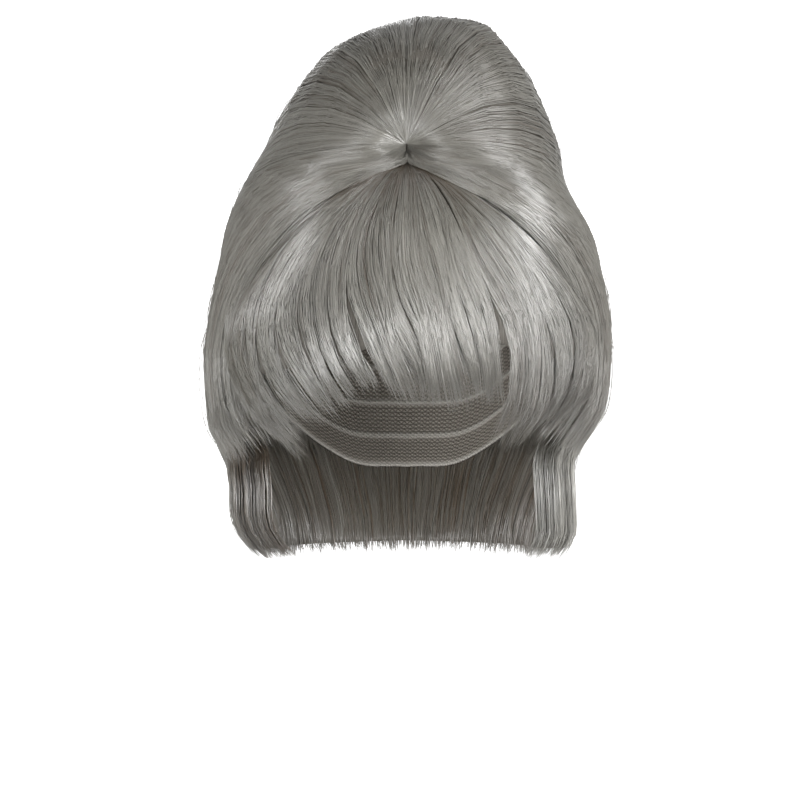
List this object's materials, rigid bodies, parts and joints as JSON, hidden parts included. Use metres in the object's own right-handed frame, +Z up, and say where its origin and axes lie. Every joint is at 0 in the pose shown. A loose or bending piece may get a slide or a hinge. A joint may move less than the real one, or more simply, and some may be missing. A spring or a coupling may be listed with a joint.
{
  "type": "bouffant wig",
  "caption": "High bouffant wig of grey synthetic hair on a stretch cap, with a teased mound, smooth sweeps over the ears, a full fringe and long locks behind the ears.",
  "frame": {"origin": "inside top of the foundation cap, where the crown of the head touches it", "axes": "+Z up, -Y towards the face, +X towards the wearer's left"},
  "size_m": [0.1841, 0.2424, 0.2466],
  "materials": {
    "hair": "silver-grey synthetic fibre, satin sheen",
    "cap_net": "knitted stretch net with sewn wefts, matt"
  },
  "bodies": {
    "root": {"foundation_cap": "cap_net", "crown_mound": "hair", "sweep_left": "hair", "sweep_right": "hair", "fringe_right": "hair", "fringe_middle": "hair", "fringe_left": "hair", "nape_lock_left": "hair", "nape_lock_right": "hair", "nape_back": "hair"}
  },
  "joints": []
}
